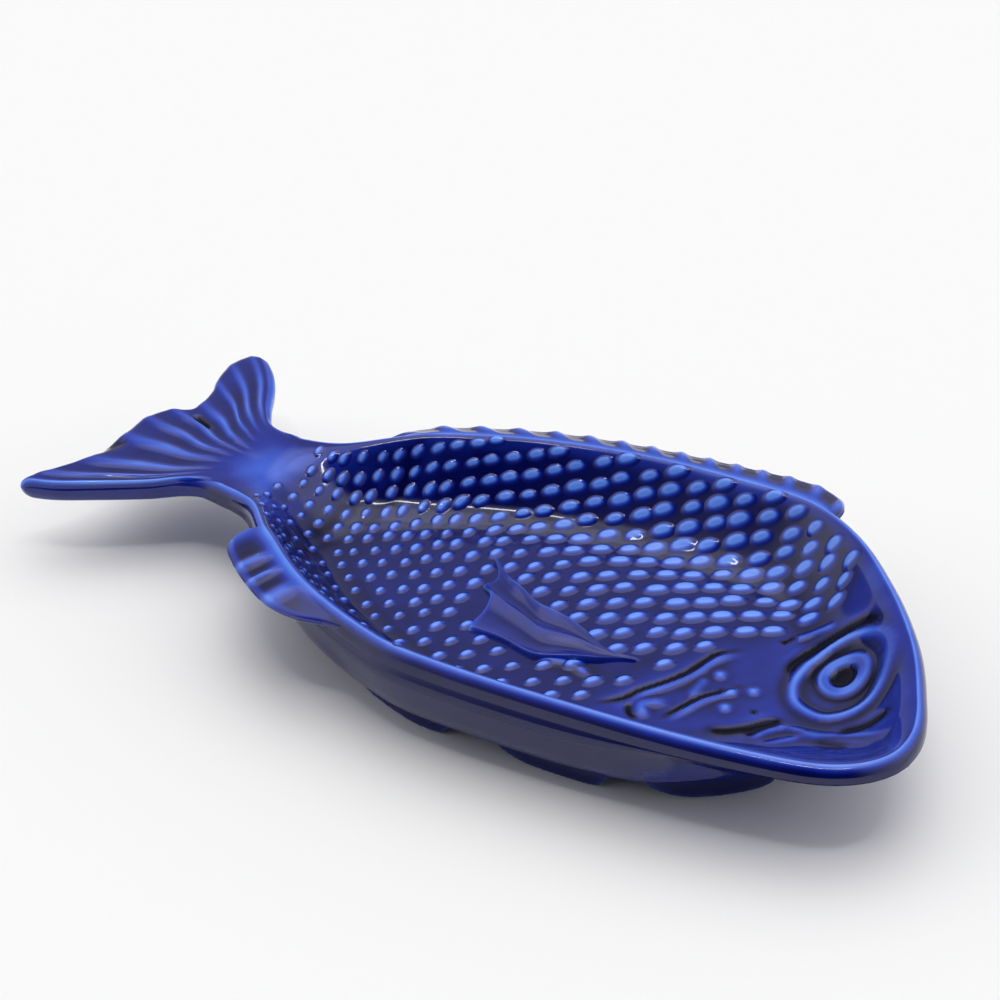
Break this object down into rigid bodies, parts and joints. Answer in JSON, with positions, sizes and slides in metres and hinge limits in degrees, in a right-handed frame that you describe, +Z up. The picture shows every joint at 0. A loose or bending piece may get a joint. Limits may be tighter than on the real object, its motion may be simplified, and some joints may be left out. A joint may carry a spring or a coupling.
{
  "type": "fish shaped serving platter",
  "caption": "Glazed stoneware serving platter shaped as a fish, with a deep scaled well, a forked tail, ribbed fins and a broken foot ring, for serving food.",
  "frame": {"origin": "middle of the bounding box in plan, on the table the feet stand on", "axes": "+X towards the fish's nose, +Y towards the fish's back (the dorsal fin), +Z up"},
  "size_m": [0.3401, 0.1833, 0.0419],
  "materials": {
    "cobalt_glaze": "gloss",
    "foot_glaze": "gloss"
  },
  "bodies": {
    "root": {"dish_body": "cobalt_glaze", "tail_fin": "cobalt_glaze", "dorsal_fin": "cobalt_glaze", "anal_fin": "cobalt_glaze", "scales": "cobalt_glaze", "pectoral_fin": "cobalt_glaze", "gill_cover": "cobalt_glaze", "brow_ridge": "cobalt_glaze", "eye_socket": "cobalt_glaze", "eye_ring": "cobalt_glaze", "mouth_lips": "cobalt_glaze", "foot_belly_rear": "foot_glaze", "foot_belly_middle": "foot_glaze", "foot_belly_front": "foot_glaze", "foot_back_rear": "foot_glaze", "foot_back_middle": "foot_glaze", "foot_back_front": "foot_glaze"}
  },
  "joints": []
}
